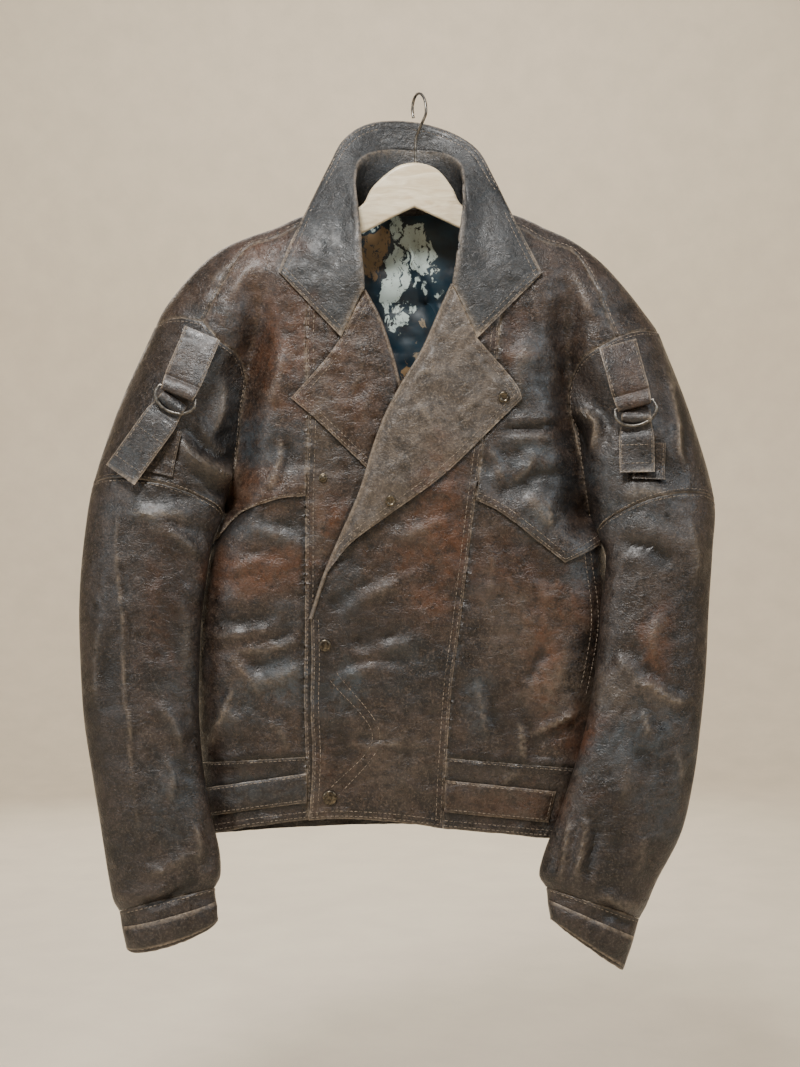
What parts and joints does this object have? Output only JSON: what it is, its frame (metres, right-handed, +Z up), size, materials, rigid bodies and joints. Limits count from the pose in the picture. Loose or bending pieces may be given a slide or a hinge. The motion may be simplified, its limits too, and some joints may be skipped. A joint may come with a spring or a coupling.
{
  "type": "leather jacket",
  "caption": "Short worn brown leather jacket with wide collar, wrapped double front, batwing sleeves and shoulder straps, hanging on a wooden hanger.",
  "frame": {"origin": "the inside top of the hanger's hook, where it rests on a rail", "axes": "+Z up along the hanging garment, -Y the front, +X the wearer's left"},
  "size_m": [0.6553, 0.1321, 0.9049],
  "materials": {
    "leather_brown": "worn semi-gloss",
    "leather_dark": "worn semi-gloss",
    "leather_rust": "worn semi-gloss",
    "leather_tan": "worn matte",
    "lining_navy": "satin print",
    "pale_wood": "clear lacquer",
    "steel_wire": "dull",
    "dark_brass": "aged"
  },
  "bodies": {
    "root": {"back": "leather_brown", "chest_right": "leather_rust", "chest_left": "leather_brown", "front_lower_right": "leather_brown", "front_lower_left": "leather_rust", "front_centre_right": "leather_brown", "front_centre_left": "leather_brown", "lapel_right": "leather_rust", "lapel_left": "leather_tan", "collar": "leather_dark", "sleeve_upper_right": "leather_dark", "sleeve_upper_left": "leather_dark", "sleeve_lower_right": "leather_dark", "sleeve_lower_left": "leather_dark", "cuff_right": "leather_dark", "cuff_left": "leather_dark", "cuff_strap_right": "leather_dark", "cuff_strap_left": "leather_dark", "waistband_right": "leather_dark", "waistband_left": "leather_dark", "waistband_back": "leather_dark", "waist_tab_right": "leather_dark", "waist_tab_left": "leather_brown", "strap_loop_right": "leather_brown", "strap_loop_left": "leather_brown", "strap_tongue_right": "leather_dark", "strap_tongue_left": "leather_dark", "strap_base_right": "leather_dark", "strap_base_left": "leather_dark", "d_ring_right": "steel_wire", "d_ring_left": "steel_wire", "snap_cap_upper": "dark_brass", "snap_cap_lower": "dark_brass", "snap_socket_upper": "dark_brass", "snap_socket_lower": "dark_brass", "snap_stud": "dark_brass", "back_lining": "lining_navy", "hanger_wood": "pale_wood", "hanger_hook": "steel_wire"}
  },
  "joints": []
}
